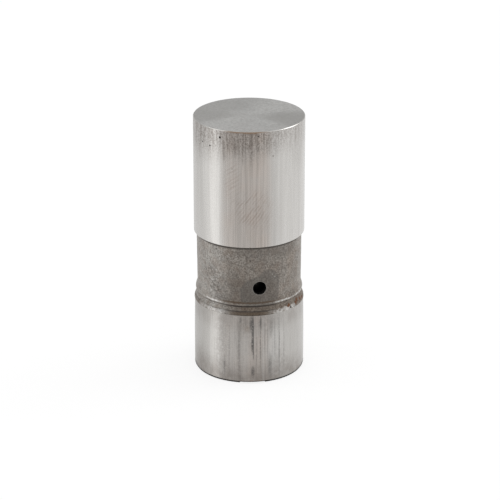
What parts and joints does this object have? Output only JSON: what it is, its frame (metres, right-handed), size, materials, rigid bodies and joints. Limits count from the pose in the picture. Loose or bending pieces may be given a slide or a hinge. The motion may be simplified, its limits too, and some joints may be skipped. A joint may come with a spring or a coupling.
{
  "type": "hydraulic flat tappet",
  "caption": "Cylindrical hydraulic flat tappet standing on its open end, with a ground cam face, cast oil relief band and oil hole, sprung plunger, check valve and pushrod cup inside.",
  "frame": {"origin": "centre of the open rim, where the tappet stands", "axes": "+Z along the axis from the open rim to the cam face; -Y to the front, with the oil hole 11.6 degrees from it towards +X"},
  "size_m": [0.0214, 0.0214, 0.0512],
  "materials": {
    "ground_iron": "ground bright lands, matt cast relief band",
    "spring_steel": "drawn wire, dark",
    "hardened_steel": "hardened, satin",
    "sheet_steel": "stamped sheet, satin",
    "ground_steel": "ground, bright",
    "polished_steel": "polished"
  },
  "bodies": {
    "body": {"tappet_body": "ground_iron", "retaining_ring": "spring_steel", "plunger_spring": "spring_steel"},
    "plunger": {"plunger": "ground_steel", "pushrod_seat": "hardened_steel", "metering_disc": "sheet_steel", "check_ball_cage": "sheet_steel", "check_ball_spring": "spring_steel"},
    "ball": {"check_ball": "polished_steel"}
  },
  "joints": [
    {"name": "plunger_slide", "type": "slide", "parent": "body", "child": "plunger", "axis": [0, 0, 1], "range_m": [0, 0.004], "stiffness_N_per_m": 1000, "springref_m": -0.0075, "deforming": ["plunger_spring"]},
    {"name": "ball_lift", "type": "slide", "parent": "plunger", "child": "ball", "axis": [0, 0, 1], "range_m": [0, 0.0005], "stiffness_N_per_m": 30, "springref_m": -0.0004, "deforming": ["check_ball_spring"]}
  ]
}
